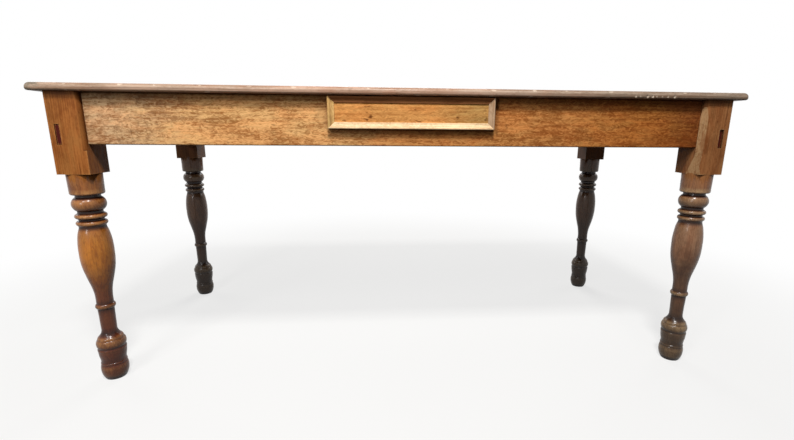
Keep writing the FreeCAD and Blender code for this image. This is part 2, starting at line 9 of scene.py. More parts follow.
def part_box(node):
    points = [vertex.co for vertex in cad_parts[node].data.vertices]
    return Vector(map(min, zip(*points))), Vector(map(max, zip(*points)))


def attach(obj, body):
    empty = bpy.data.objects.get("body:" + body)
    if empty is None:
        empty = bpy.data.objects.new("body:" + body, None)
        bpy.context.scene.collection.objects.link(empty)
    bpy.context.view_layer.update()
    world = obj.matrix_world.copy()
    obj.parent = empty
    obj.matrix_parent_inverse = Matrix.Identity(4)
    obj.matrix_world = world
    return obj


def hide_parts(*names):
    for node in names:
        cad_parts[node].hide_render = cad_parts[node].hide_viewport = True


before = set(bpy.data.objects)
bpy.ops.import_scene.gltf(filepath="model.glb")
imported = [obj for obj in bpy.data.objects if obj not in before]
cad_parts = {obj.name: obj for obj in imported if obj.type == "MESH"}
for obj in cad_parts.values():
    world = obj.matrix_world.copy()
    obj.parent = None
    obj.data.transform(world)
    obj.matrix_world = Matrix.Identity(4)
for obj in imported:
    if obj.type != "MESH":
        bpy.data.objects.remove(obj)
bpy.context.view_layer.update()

bl_info = {
    "name": "Farmhouse Table",
    "version": (1, 0, 0),
    "blender": (4, 5, 0),
    "location": "3D View > Sidebar > Farmhouse Table",
    "description": "Dresses the packed farmhouse table in worn wood and sets it on a pale floor",
    "category": "Object",
}

MM = 0.001
MERGE_GAP = 0.02 * MM
FLAT_ANGLE = math.radians(0.4)
SHARP_ANGLE = math.radians(32)

# The photograph's width and the shift of its middle, in pixels.
PHOTO_WIDTH = 794
PHOTO_SHIFT = (-15.97, 7.53)

# The width of the camera's sensor, in millimetres.
SENSOR_WIDTH = 36

TABLE_BODY = "table_frame"
DRAWER_BODY = "drawer"

LEGS = ("leg_front_left", "leg_front_right", "leg_back_left", "leg_back_right")
BOARDS = (
    "top_board_front", "top_board_front_middle", "top_board_middle", "top_board_back_middle",
    "top_board_back",
)

# Each sawn piece of the four groups, with the axis along which its grain runs.
RAILS = {"front_rail": "X", "back_rail": "X", "end_rail_left": "Y", "end_rail_right": "Y"}
INNER_PIECES = {
    "drawer_runner_left": "Y",
    "drawer_runner_right": "Y",
    "drawer_guide_left": "Y",
    "drawer_guide_right": "Y",
    "glue_blocks_front_left": "X",
    "glue_blocks_front_right": "X",
    "glue_blocks_back": "X",
    "glue_blocks_left": "Y",
    "glue_blocks_right": "Y",
}
DRAWER_BOX = {
    "drawer_side_left": "Y",
    "drawer_side_right": "Y",
    "drawer_back": "X",
    "drawer_bottom": "X",
}
MOULDINGS = {
    "drawer_moulding_bottom": "X",
    "drawer_moulding_top": "X",
    "drawer_moulding_left": "Z",
    "drawer_moulding_right": "Z",
}

# The turn that lays the X axis along the grain.
GRAIN_TURN = {"X": (0, 0, 0), "Y": (0, 0, math.radians(90)), "Z": (0, math.radians(-90), 0)}
GRAIN_LINE = {"X": (1, 0, 0), "Y": (0, 1, 0), "Z": (0, 0, 1)}

# The length of one ring of a wave texture whose scale is 1.
WAVE_RING = 2 * math.pi / 20

# Lamps: name, place, target, width in metres and power in watts. A small steep lamp and a large
# lower one give the top's shadow on the rail its dark core, its soft slope and its crisp end. The
# large one stands to the left, and a faint low window puts the highlights on the swellings of
# both front legs. The others light the back and the ends.
LAMPS = (
    ("Main lamp", (0, -1.74, 2.94), (0, -0.3, 0.5), 0.4, 90),
    ("Front lamp", (-1.1, -1.95, 2.15), (0, -0.3, 0.6), 0.6, 24),
    ("Window", (-1.6, -2.2, 1.15), (0, -0.3, 0.5), 0.3, 9),
    ("Back lamp", (0.2, 2.6, 2.5), (0, 0.2, 0.5), 1.6, 60),
    ("Left lamp", (-2.8, 1.6, 1.9), (-0.6, 0, 0.4), 1.2, 15),
    ("Right lamp", (2.8, 1.6, 1.9), (0.6, 0, 0.4), 1.2, 15),
)


def linear(code):
    """The linear colour of an sRGB hex value."""
    channels = [int(code[place:place + 2], 16) / 255 for place in (1, 3, 5)]
    return tuple(c / 12.92 if c <= 0.04045 else ((c + 0.055) / 1.055) ** 2.4 for c in channels)


def wood_colour(name, description, code):
    """A colour of the table that a user may change, given as an sRGB hex value."""
    return bpy.props.FloatVectorProperty(
        name=name, description=description, subtype="COLOR", size=3,
        min=0, max=1, default=linear(code),
    )


def real_size(name, description, millimetres, least, most):
    """A size of the table that a user may change, given in millimetres."""
    return bpy.props.FloatProperty(
        name=name, description=description, default=millimetres * MM,
        min=least * MM, max=most * MM, subtype="DISTANCE", unit="LENGTH",
    )


class TableWoods(bpy.types.PropertyGroup):
    """The colours of the table's woods."""

    top_left: wood_colour("Top, left", "Scrubbed wood at the left of the top", "#a68b75")
    top_middle: wood_colour("Top, middle", "Browner wood in the middle of the top", "#b6917a")
    top_right: wood_colour("Top, right", "Greyer wood at the right of the top", "#8a7664")
    # The left tip's dark colour is painted shade, where the rounded corner turns from the light.
    top_tip_painted_shade: wood_colour("Top, left tip", "Dirt on the top's left end", "#6b6353")
    # The bare colour also paints the highlight on the upper round of the top's long edges.
    top_bare_and_highlight: wood_colour("Top, bare", "Fresh wood in its chips and on its arrises", "#d9c7b2")
    foot: wood_colour("Warm leg, foot", "Dark red polish of the front left foot", "#582a16")
    ankle: wood_colour("Warm leg, ankle", "Red brown of the slim ankle", "#64341a")
    vase: wood_colour("Warm leg, vase", "Honey polish of the swelling", "#ac6a24")
    rings: wood_colour("Warm leg, rings", "Brown of the rings", "#7c4a26")
    block: wood_colour("Warm leg, block", "Warm brown of the square block", "#925a2b")
    grey_foot: wood_colour("Greyer leg, foot", "Olive brown of the other feet", "#4c3826")
    grey_ankle: wood_colour("Greyer leg, ankle", "Brown of their ankles", "#553722")
    grey_vase: wood_colour("Greyer leg, vase", "Dulled polish of their swellings", "#865f43")
    grey_rings: wood_colour("Greyer leg, rings", "Dulled polish of their rings", "#77553c")
    grey_block: wood_colour("Greyer leg, block", "Brown of their blocks", "#8a5a35")
    # The rubbed colours also paint highlights on the legs' ring crests.
    leg_rubbed_and_highlight: wood_colour("Warm leg, rubbed", "Tan wood where the polish is worn", "#b9854f")
    grey_rubbed_and_highlight: wood_colour("Greyer leg, rubbed", "Pale wood where it is worn off", "#b3946c")
    rail_end: wood_colour("Rail, left end", "Weathered left end of the front rail", "#be966d")
    rail_left: wood_colour("Rail, left", "Faded wood", "#c9965f")
    rail_middle: wood_colour("Rail, middle", "Wood round the drawer", "#b27640")
    rail_right: wood_colour("Rail, right", "Redder wood", "#a2652f")
    rail_far: wood_colour("Rail, right end", "Dark right end of the front rail", "#7d4620")
    tenon: wood_colour("Tenons", "Dark ends of the tenons that show through the legs", "#46140f")
    field: wood_colour("Drawer front", "Honey wood inside the moulding", "#d09252")
    field_right: wood_colour("Drawer front, right", "Its greyer right end", "#b58a50")
    moulding_bottom: wood_colour("Moulding, bottom", "Cream wood of the bottom strip", "#dfc096")
    moulding_left: wood_colour("Moulding, left", "Straw yellow of the left strip", "#c39c62")
    moulding_right: wood_colour("Moulding, right", "Greyed wood of the right strip", "#a98a6d")
    # The top strip's dark colour is painted shade: it lies in the shadow under the top.
    moulding_top: wood_colour("Moulding, top", "Browned wood of the top strip", "#74492a")
    raw: wood_colour("Raw wood", "Wood inside that was never polished", "#a5845c")


class TableWear(bpy.types.PropertyGroup):
    """How worn the table is."""

    arris: real_size("Arris", "Radius to which the sawn edges are worn", 1.1, 0, 4)
    seam: real_size("Seam", "Width to which the boards have shrunk at their seams", 0.5, 0, 2)
    dent_depth: real_size("Dent depth", "Depth of the dents in the turned legs", 0.6, 0, 3)
    dent_size: real_size("Dent size", "Distance between dents in the turned legs", 26, 5, 200)
    chip_length: real_size("Chip length", "Length of the largest chips in the top", 13, 1, 40)
    chip_depth: real_size("Chip depth", "Depth of the deepest chips in the top", 1.3, 0, 5)
    chip_spacing: real_size("Chip spacing", "Distance between chips along the top", 95, 5, 1000)
    nail_head: real_size("Nail head", "Width of the nail heads under the drawer", 4.5, 1, 10)


class TableStage(bpy.types.PropertyGroup):
    """The floor, the lamps and the camera."""

    floor: wood_colour("Floor", "Plain pale floor", "#d2d0cc")
    floor_bounce: wood_colour("Floor bounce", "Tone of the light that it throws up", "#3a3733")
    camera_place: bpy.props.FloatVectorProperty(
        name="Camera place", description="Where the camera stands", subtype="TRANSLATION",
        size=3, unit="LENGTH", default=(-0.0700, -1.4227, 0.6615),
    )
    yaw: bpy.props.FloatProperty(
        name="Yaw", description="Turn to the right from straight ahead",
        default=math.radians(4.401), subtype="ANGLE", unit="ROTATION",
    )
    pitch: bpy.props.FloatProperty(
        name="Pitch", description="Tilt down from the level",
        default=math.radians(12.779), subtype="ANGLE", unit="ROTATION",
    )
    roll: bpy.props.FloatProperty(
        name="Roll", description="Lean of the camera",
        default=math.radians(0.4657), subtype="ANGLE", unit="ROTATION",
    )
    lens: bpy.props.FloatProperty(
        name="Lens", description="Focal length on a sensor 36 mm wide",
        default=19.37, min=5, max=200, unit="CAMERA",
    )


def add(tree, kind, feeds=None, out=0, **settings):
    """Add a node with its settings, feed its sockets, and return one of its outputs."""
    node = tree.nodes.new(kind)
    for name, value in settings.items():
        setattr(node, name, value)
    for name, value in (feeds or {}).items():
        socket = node.inputs[name]
        if isinstance(value, bpy.types.NodeSocket):
            tree.links.new(value, socket)
        else:
            # Colours are given without their alpha.
            socket.default_value = (*value, 1) if socket.type == "RGBA" else value
    return node.outputs[out] if node.outputs else None


def weighed_sum(tree, start, parts):
    """A number plus several patterns, each times its weight."""
    total = start
    for pattern, weight in parts:
        total = add(
            tree, "ShaderNodeMath", {0: pattern, 1: weight, 2: total}, operation="MULTIPLY_ADD",
        )
    return total


def grain_pattern(tree, place, length, width, detail=3.0, distortion=0.0, levels=None,
                  strength=1.0):
    """Soft random patches of a real length along the grain and a real width across it.

    Where two levels are given, only the patches above the first stay, and those above the
    second have the full strength.
    """
    share = add(
        tree, "ShaderNodeVectorMath", {0: place, 1: (1 / length, 1 / width, 1 / width)},
        operation="MULTIPLY",
    )
    pattern = add(
        tree, "ShaderNodeTexNoise",
        {"Vector": share, "Scale": 1.0, "Detail": detail, "Roughness": 0.6,
         "Distortion": distortion},
    )
    if levels is None:
        return pattern
    return add(
        tree, "ShaderNodeMapRange", {"Value": pattern, 1: levels[0], 2: levels[1], 4: strength},
        interpolation_type="SMOOTHSTEP",
    )


def new_material(name):
    """Start an empty material, and return it with its node tree."""
    material = bpy.data.materials.new(name)
    material.use_nodes = True
    material.node_tree.nodes.clear()
    return material, material.node_tree


def grain_place(tree, node, axis, seed):
    """Place along and across the grain from a piece's middle, both plain and moved by a seed."""
    draw = random.Random(seed)
    elsewhere = tuple(draw.uniform(-4, 4) for _ in range(3))
    place = add(tree, "ShaderNodeTexCoord", out="Object")
    local = add(
        tree, "ShaderNodeMapping",
        {"Vector": place, "Location": node_middle(node), "Rotation": GRAIN_TURN[axis]},
        vector_type="TEXTURE",
    )
    seeded = add(tree, "ShaderNodeVectorMath", {0: local, 1: elsewhere}, operation="ADD")
    return local, seeded


def growth_rings(tree, local, seeded, pith, ring):
    """Growth rings round a pith beside the piece, which wanders by some millimetres."""
    wander = add(
        tree, "ShaderNodeVectorMath", {0: seeded, 1: (1.6, 11, 11)}, operation="MULTIPLY",
    )
    wander = add(
        tree, "ShaderNodeTexNoise", {"Vector": wander, "Scale": 1.0, "Detail": 2.0}, "Color",
    )
    bent = add(
        tree, "ShaderNodeVectorMath", {0: wander, 1: (0, 30 * MM, 30 * MM), 2: local},
        operation="MULTIPLY_ADD",
    )
    bent = add(tree, "ShaderNodeVectorMath", {0: bent, 1: pith}, operation="ADD")
    bent = add(tree, "ShaderNodeVectorMath", {0: bent, 1: (0.02, 1, 1)}, operation="MULTIPLY")
    return add(
        tree, "ShaderNodeTexWave",
        {"Vector": bent, "Scale": WAVE_RING / ring, "Distortion": 2.5, "Detail": 3.0,
         "Detail Scale": 2.0},
        "Fac", wave_type="RINGS", rings_direction="X", wave_profile="SIN",
    )


def colour_along(tree, along, stops):
    """A colour that changes along the grain, from each stop to the next."""
    colour = stops[0][1]
    for (begin, _), (end, cover) in zip(stops, stops[1:]):
        border = add(
            tree, "ShaderNodeMapRange", {"Value": along, 1: begin, 2: end},
            interpolation_type="SMOOTHSTEP",
        )
        colour = add(
            tree, "ShaderNodeMix", {0: border, 6: colour, 7: cover}, 2, data_type="RGBA",
        )
    return colour


def damp_marks(tree, place, along, border):
    """Dirt in short marks across the grain, left of a border that damp has reached."""
    mark = grain_pattern(tree, place, 11 * MM, 15 * MM, 3.0, 0.8, (0.42, 0.78))
    damp = add(
        tree, "ShaderNodeMapRange", {"Value": along, 1: border + 0.12, 2: border - 0.1, 4: 0.5},
        interpolation_type="SMOOTHSTEP",
    )
    return add(tree, "ShaderNodeMath", {0: mark, 1: damp}, operation="MULTIPLY")


def crossing_scratches(tree, place):
    """Scratches that cross the grain at two slants."""
    scratch = 0.0
    for slant in (0.3, -0.75):
        turned = add(tree, "ShaderNodeMapping", {"Vector": place, "Rotation": (0, slant, slant)})
        line = grain_pattern(tree, turned, 45 * MM, 1.8 * MM, 1.0, levels=(0.70, 0.77))
        scratch = add(tree, "ShaderNodeMath", {0: line, 1: scratch}, operation="MAXIMUM")
    return scratch


def end_grain(tree, axis, strength):
    """The faces where the fibres end."""
    normal = add(tree, "ShaderNodeNewGeometry", out="Normal")
    facing = add(
        tree, "ShaderNodeVectorMath", {0: normal, 1: GRAIN_LINE[axis]}, "Value",
        operation="DOT_PRODUCT",
    )
    facing = add(tree, "ShaderNodeMath", {0: facing}, operation="ABSOLUTE")
    return add(
        tree, "ShaderNodeMapRange", {"Value": facing, 1: 0.8, 2: 0.98, 4: strength},
        interpolation_type="SMOOTHSTEP",
    )


def rubbed_and_highlit_places(tree, wear, patches, strength):
    """Arrises and high rings that hands and cloths rub, in places more than in others, and the
    painted highlights that the wear attribute lays on the top's rounded edges and the legs' ring
    crests.
    """
    inward = add(
        tree, "ShaderNodeAmbientOcclusion", {"Distance": 5 * MM}, "AO",
        samples=6, inside=True, only_local=True,
    )
    edge = add(
        tree, "ShaderNodeMapRange", {"Value": inward, 1: 0.75, 2: 0.35},
        interpolation_type="SMOOTHSTEP",
    )
    edge = add(tree, "ShaderNodeMath", {0: edge, 1: wear}, operation="ADD", use_clamp=True)
    patchy = add(
        tree, "ShaderNodeMapRange",
        {"Value": patches, 1: 0.42, 2: 0.58, 3: 0.35 * strength, 4: strength},
        interpolation_type="SMOOTHSTEP",
    )
    return add(tree, "ShaderNodeMath", {0: edge, 1: patchy}, operation="MULTIPLY")


def corner_grime_and_shade(tree, wear, grime_and_shade, reach, alone):
    """Grime and painted shade that gather in corners, turned hollows and under the top, and not
    where wood has chipped off.
    """
    corner = add(
        tree, "ShaderNodeAmbientOcclusion", {"Distance": reach}, "AO",
        samples=6, only_local=alone,
    )
    dirt_and_shade = weighed_sum(tree, 0.9 * grime_and_shade, [(corner, -0.9 * grime_and_shade), (wear, -grime_and_shade)])
    return add(tree, "ShaderNodeMath", {0: dirt_and_shade, 1: 0.0}, operation="MAXIMUM", use_clamp=True)


def old_wood(name, node, axis, seed, stops, contrast=1.0, pith=(0, 0.05, 0.09), ring=5 * MM,
             rings=0.12, streaks=0.4, mottle=0.7, blotches=0.55, cracks=0.3, flecks=0.5,
             fleck_size=1.0, weathered=None, scratches=0.25, tip=None, bare=None, rubbed=0.6,
             grime_and_shade=0.8, grime_and_shade_reach=16 * MM, gloss=0.5, polish=0.0, polished_below=None,
             alone=False):
    """Old sawn or turned wood for one piece.

    Growth rings run round a pith beside the piece, so its faces show stripes, or the tall
    arches of a plain-sawn board where the rings lie flat. Stains, flecks, scratches, rubbed
    arrises, and grime with painted shade in the corners and under the top lie on top; the
    rubbed places also carry painted highlights on the top's edges and the legs' ring crests.
    The stops are places along the grain, from the middle of the piece, each with the wood's
    colour there. Dirt marks the wood left of the place called weathered, a tip colours the end
    grain, and bare is the colour of rubbed wood and of those painted highlights.
    """
    material, tree = new_material(f"{name}, {node}")
    local, seeded = grain_place(tree, node, axis, seed)
    growth = growth_rings(tree, local, seeded, pith, ring)
    fibre = grain_pattern(tree, seeded, 30 * MM, 0.9 * MM, 4.0)
    streak = grain_pattern(tree, seeded, 120 * MM, 4.5 * MM, 4.0)
    curl = grain_pattern(tree, seeded, 16 * MM, 6 * MM, 4.0, 1.6)
    blotch = grain_pattern(tree, seeded, 110 * MM, 45 * MM, 4.0, 0.6)
    parts = [
        (growth, rings), (fibre, 0.25), (streak, streaks), (curl, mottle), (blotch, blotches),
    ]
    start = 0.5 - sum(weight for _, weight in parts) / 2
    tone = add(
        tree, "ShaderNodeMapRange", {"Value": weighed_sum(tree, start, parts), 1: 0.2, 2: 0.8},
        interpolation_type="SMOOTHSTEP",
    )

    # The borders between the stops are uneven.
    along = add(tree, "ShaderNodeSeparateXYZ", {0: local})
    reach = stops[-1][0] - stops[0][0]
    along = weighed_sum(
        tree, -0.15 * reach, [(along, 1.0), (blotch, 0.2 * reach), (streak, 0.1 * reach)],
    )
    base = colour_along(tree, along, stops)

    # The tone runs from dark to pale. Old finish has sunk in unevenly too, so that some patches
    # are redder and others more olive.
    dark = tuple(1 - contrast * (1 - share) for share in (0.60, 0.48, 0.38))
    pale = tuple(1 + contrast * (share - 1) for share in (1.28, 1.34, 1.40))
    olive, red = (tuple(1 + contrast * part for part in shift) for shift in (
        (-0.04, 0.0, 0.01), (0.05, -0.02, -0.06),
    ))
    stain = grain_pattern(tree, seeded, 90 * MM, 26 * MM, 3.0, 1.0, (0.36, 0.64))
    colour = base
    for share, under, over in ((tone, dark, pale), (stain, olive, red)):
        tint = add(tree, "ShaderNodeMix", {0: share, 6: under, 7: over}, 2, data_type="RGBA")
        colour = add(tree, "ShaderNodeVectorMath", {0: tint, 1: colour}, operation="MULTIPLY")
    soot, muck_and_shade, scratched, fresh = (
        add(tree, "ShaderNodeVectorMath", {0: base, 1: shares}, operation="MULTIPLY")
        for shares in ((0.22, 0.14, 0.10), (0.11, 0.063, 0.04), pale, (1.45, 1.5, 1.55))
    )

    # Long cracks that opened as the wood dried, short dark flecks, and open pores.
    crack, fleck, pore = (
        grain_pattern(tree, seeded, length, width, detail, levels=levels, strength=strength)
        for length, width, detail, levels, strength in (
            (140 * MM, 3.2 * MM, 1.5, (0.62, 0.70), cracks),
            (13 * MM * fleck_size, 6 * MM * fleck_size, 2.0, (0.60, 0.76), flecks),
            (9 * MM, 1.5 * MM, 1.0, (0.60, 0.72), 0.25),
        )
    )
    scratch = crossing_scratches(tree, seeded)
    faint = add(tree, "ShaderNodeMath", {0: scratch, 1: scratches}, operation="MULTIPLY")
    # The wear attribute holds rubbed and dirty places, and also painted highlights and painted
    # shade.
    wear = add(tree, "ShaderNodeAttribute", out="Fac", attribute_name="wear")
    patches = weighed_sum(tree, 0, [(blotch, 0.5), (curl, 0.5)])
    # Painted shade: ambient occlusion darkens corners, turned hollows and the rail under the top,
    # together with grime.
    dirt_and_shade = corner_grime_and_shade(tree, wear, grime_and_shade, grime_and_shade_reach, alone)

    # Each layer hides those before it by its share. End grain drinks polish and dirt, so it is
    # darker.
    layers = [(crack, soot), (fleck, soot), (pore, soot)]
    if weathered is not None:
        layers.append((damp_marks(tree, seeded, along, weathered), soot))
    layers += [
        (faint, scratched),
        (end_grain(tree, axis, 0.5), soot) if tip is None else (end_grain(tree, axis, 1.0), tip),
        (rubbed_and_highlit_places(tree, wear, patches, rubbed), fresh if bare is None else bare),
        (dirt_and_shade, muck_and_shade),
    ]
    for share, over in layers:
        colour = add(tree, "ShaderNodeMix", {0: share, 6: colour, 7: over}, 2, data_type="RGBA")

    # Fibres, pores and scratches stand out by tenths of a millimetre.
    relief = weighed_sum(
        tree, 0,
        [(fibre, 0.5), (streak, 0.9), (pore, -0.8), (fleck, -0.5), (crack, -1.5), (scratch, -0.5)],
    )
    bump = add(tree, "ShaderNodeBump", {"Height": relief, "Distance": 0.3 * MM, "Strength": 0.7})
    rough = weighed_sum(tree, gloss - 0.12, [(blotch, 0.24), (dirt_and_shade, 0.3), (scratch, 0.1)])
    if polished_below is not None:
        polish = add(
            tree, "ShaderNodeMapRange",
            {"Value": along, 1: polished_below + 5 * MM, 2: polished_below - 5 * MM, 4: polish},
            interpolation_type="SMOOTHSTEP",
        )
    shader = add(
        tree, "ShaderNodeBsdfPrincipled",
        {"Base Color": colour, "Roughness": rough, "Normal": bump, "IOR": 1.45,
         "Specular IOR Level": 0.08, "Coat Weight": polish, "Coat Roughness": 0.22},
    )
    add(tree, "ShaderNodeOutputMaterial", {0: shader})
    return material


def forged_iron(name):
    """Old wire nails: dark iron, dulled by brown rust."""
    material, tree = new_material(name)
    place = add(tree, "ShaderNodeTexCoord", out="Object")
    rust = grain_pattern(tree, place, 1.2 * MM, 1.2 * MM, levels=(0.4, 0.62))
    colour = add(
        tree, "ShaderNodeMix", {0: rust, 6: linear("#3c3936"), 7: linear("#6a3d22")}, 2,
        data_type="RGBA",
    )
    rough = weighed_sum(tree, 0.45, [(rust, 0.35)])
    metal = weighed_sum(tree, 0.9, [(rust, -0.8)])
    bump = add(tree, "ShaderNodeBump", {"Height": rust, "Distance": 0.15 * MM})
    shader = add(
        tree, "ShaderNodeBsdfPrincipled",
        {"Base Color": colour, "Metallic": metal, "Roughness": rough, "Normal": bump},
    )
    add(tree, "ShaderNodeOutputMaterial", {0: shader})
    return material


def new_tree(name, sockets):
    """Start a geometry node tree with named inputs, and return it with them."""
    tree = bpy.data.node_groups.new(name, "GeometryNodeTree")
    tree.interface.new_socket("Geometry", in_out="OUTPUT", socket_type="NodeSocketGeometry")
    tree.interface.new_socket("Geometry", in_out="INPUT", socket_type="NodeSocketGeometry")
    for label, kind in sockets.items():
        tree.interface.new_socket(label, in_out="INPUT", socket_type=f"NodeSocket{kind}")
    return tree, add(tree, "NodeGroupInput").node.outputs


def end_tree(tree, geometry, material):
    """Close a tree: its instances made real and its material set."""
    geometry = add(tree, "GeometryNodeRealizeInstances", {"Geometry": geometry})
    geometry = add(tree, "GeometryNodeSetMaterial", {"Geometry": geometry, "Material": material})
    add(tree, "NodeGroupOutput", {"Geometry": geometry})


def run_tree(tree, base, values):
    """Run a node tree on a mesh, and return the result as a plain mesh."""
    carrier = bpy.data.objects.new(tree.name, base)
    bpy.context.scene.collection.objects.link(carrier)
    modifier = carrier.modifiers.new(tree.name, "NODES")
    modifier.node_group = tree
    for item in tree.interface.items_tree:
        if item.in_out == "INPUT" and item.name in values:
            modifier[item.identifier] = values[item.name]
    ready = carrier.evaluated_get(bpy.context.evaluated_depsgraph_get())
    mesh = bpy.data.meshes.new_from_object(ready)
    bpy.data.objects.remove(carrier)
    return mesh


def turning_tree():
    """Turn a standing line of points into a leg. Each point has its radius and its ring's wear,
    which paints crests pale with a painted highlight and hollows dark with dirt and painted shade.
    """
    tree, given = new_tree("Turned leg", {
        "Segments": "Int", "Dent depth": "Float", "Dent size": "Float", "Seed": "Int",
        "Wood": "Material",
    })
    radius = add(tree, "GeometryNodeInputNamedAttribute", {"Name": "radius"})
    line = add(tree, "GeometryNodeMeshToCurve", {"Mesh": given["Geometry"]})
    circle = add(
        tree, "GeometryNodeCurvePrimitiveCircle",
        {"Resolution": given["Segments"], "Radius": 1.0},
    )
    leg = add(
        tree, "GeometryNodeCurveToMesh",
        {"Curve": line, "Profile Curve": circle, "Scale": radius, "Fill Caps": True},
    )
    wear = add(tree, "GeometryNodeInputNamedAttribute", {"Name": "ring_wear_and_light"})
    leg = add(
        tree, "GeometryNodeStoreNamedAttribute", {"Geometry": leg, "Name": "wear", "Value": wear},
        domain="CORNER",
    )
    position = add(tree, "GeometryNodeInputPosition")
    share = add(tree, "ShaderNodeMath", {0: 1.0, 1: given["Dent size"]}, operation="DIVIDE")
    knocks = add(
        tree, "ShaderNodeTexNoise",
        {"Vector": position, "Scale": share, "W": given["Seed"], "Detail": 2.0},
        noise_dimensions="4D",
    )
    knocks = add(tree, "ShaderNodeMapRange", {"Value": knocks, 1: 0.5, 2: 0.78})
    # The foot's lowest rim keeps its shape, so the leg stands flat.
    height = add(tree, "ShaderNodeSeparateXYZ", {0: position}, "Z")
    off_floor = add(tree, "ShaderNodeMapRange", {"Value": height, 1: 2 * MM, 2: 12 * MM})
    depth = add(tree, "ShaderNodeMath", {0: knocks, 1: off_floor}, operation="MULTIPLY")
    depth = add(
        tree, "ShaderNodeMath", {0: depth, 1: given["Dent depth"]}, operation="MULTIPLY",
    )
    inward = add(
        tree, "ShaderNodeVectorMath", {0: add(tree, "GeometryNodeInputNormal"), 1: (-1, -1, 0)},
        operation="MULTIPLY",
    )
    offset = add(tree, "ShaderNodeVectorMath", {0: inward, "Scale": depth}, operation="SCALE")
    leg = add(tree, "GeometryNodeSetPosition", {"Geometry": leg, "Offset": offset})
    end_tree(tree, leg, given["Wood"])
    return tree


def chip_tree():
    """Scatter ragged pebbles along a line outside an edge, each of which takes a chip off it."""
    tree, given = new_tree("Chips", {
        "Spacing": "Float", "Reach": "Float", "Length": "Float", "Depth": "Float", "Seed": "Int",
        "Wood": "Material",
    })
    line = add(tree, "GeometryNodeMeshToCurve", {"Mesh": given["Geometry"]})
    points = add(
        tree, "GeometryNodeCurveToPoints", {"Curve": line, "Length": given["Spacing"]},
        mode="LENGTH",
    ).node.outputs
    # Each point slides along the line by up to a fifth of the spacing.
    jitter = add(
        tree, "FunctionNodeRandomValue", {2: -0.2, 3: 0.2, "Seed": given["Seed"]}, 1,
    )
    jitter = add(tree, "ShaderNodeMath", {0: jitter, 1: given["Spacing"]}, operation="MULTIPLY")
    slide = add(
        tree, "ShaderNodeVectorMath", {0: points["Tangent"], "Scale": jitter},
        operation="SCALE",
    )
    scattered = add(
        tree, "GeometryNodeSetPosition", {"Geometry": points["Points"], "Offset": slide},
    )
    turn = add(
        tree, "FunctionNodeAlignRotationToVector", {"Vector": points["Tangent"]},
        axis="X",
    )
    roll = add(
        tree, "FunctionNodeRandomValue",
        {0: (0, 0, 0), 1: (2 * math.pi, 0, 0), "Seed": given["Seed"]},
        data_type="FLOAT_VECTOR",
    )
    roll = add(tree, "FunctionNodeEulerToRotation", {0: roll})
    turn = add(tree, "FunctionNodeRotateRotation", {0: turn, 1: roll}, rotation_space="LOCAL")
    share = add(tree, "FunctionNodeRandomValue", {2: 0.0, 3: 1.0, "Seed": given["Seed"]}, 1)
    radius = weighed_sum(tree, given["Reach"], [(share, given["Depth"])])
    shape = add(tree, "ShaderNodeCombineXYZ", {0: given["Length"], 1: radius, 2: radius})
    # A pebble's skin is uneven, so that its chips come out ragged.
    pebble = add(tree, "GeometryNodeMeshIcoSphere", {"Radius": 1.0, "Subdivisions": 4})
    place = add(tree, "GeometryNodeInputPosition")
    rough = add(
        tree, "ShaderNodeTexNoise", {"Vector": place, "Scale": 4.0, "Detail": 3.0}, "Color",
    )
    rough = add(
        tree, "ShaderNodeVectorMath", {0: rough, 1: (0.5, 0.5, 0.5)}, operation="SUBTRACT",
    )
    rough = add(tree, "ShaderNodeVectorMath", {0: rough, "Scale": 0.35}, operation="SCALE")
    pebble = add(tree, "GeometryNodeSetPosition", {"Geometry": pebble, "Offset": rough})
    # The faces that it leaves in the wood show fresh.
    pebble = add(
        tree, "GeometryNodeStoreNamedAttribute",
        {"Geometry": pebble, "Name": "wear", "Value": 1.0}, domain="CORNER",
    )
    chips = add(
        tree, "GeometryNodeInstanceOnPoints",
        {"Points": scattered, "Instance": pebble, "Rotation": turn, "Scale": shape},
    )
    end_tree(tree, chips, given["Wood"])
    return tree


def nail_tree():
    """Drive a row of round-headed nails, one at each point."""
    tree, given = new_tree("Nails", {"Head": "Float", "Iron": "Material"})
    half = add(tree, "ShaderNodeMath", {0: given["Head"], 1: 0.5}, operation="MULTIPLY")
    shape = add(tree, "ShaderNodeCombineXYZ", {0: half, 1: half, 2: 0.9 * MM})
    head = add(tree, "GeometryNodeMeshUVSphere", {"Segments": 12, "Rings": 6, "Radius": 1.0})
    nails = add(
        tree, "GeometryNodeInstanceOnPoints",
        {"Points": given["Geometry"], "Instance": head, "Scale": shape},
    )
    end_tree(tree, nails, given["Iron"])
    return tree


def node_copy(name):
    """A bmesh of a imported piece, with its loose triangles joined and its flat faces whole."""
    made = bmesh.new()
    made.from_mesh(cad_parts[name].data)
    bmesh.ops.remove_doubles(made, verts=made.verts, dist=MERGE_GAP)
    bmesh.ops.dissolve_limit(made, angle_limit=FLAT_ANGLE, verts=made.verts, edges=made.edges)
    return made


def ease_edges(made, radius):
    """Wear the sharp edges of a piece to a small radius."""
    edges = [
        edge for edge in made.edges
        if edge.is_manifold and edge.calc_face_angle() > SHARP_ANGLE
    ]
    bmesh.ops.bevel(
        made, geom=edges, offset=radius, offset_type="OFFSET", segments=2, profile=0.5,
        affect="EDGES", clamp_overlap=True,
    )


def new_piece(name, mesh):
    """Put a mesh in the scene under the name of its piece."""
    piece = bpy.data.objects.new(name, mesh)
    bpy.context.scene.collection.objects.link(piece)
    return piece


def plain_mesh(name, made):
    """Turn a bmesh into a mesh with smooth faces."""
    mesh = bpy.data.meshes.new(name)
    for face in made.faces:
        face.smooth = True
    made.to_mesh(mesh)
    made.free()
    return mesh


def reach_of(mesh):
    """How far a mesh reaches along each axis."""
    places = list(zip(*(vertex.co for vertex in mesh.vertices))) or [(0, 0)] * 3
    return [max(along) - min(along) for along in places]


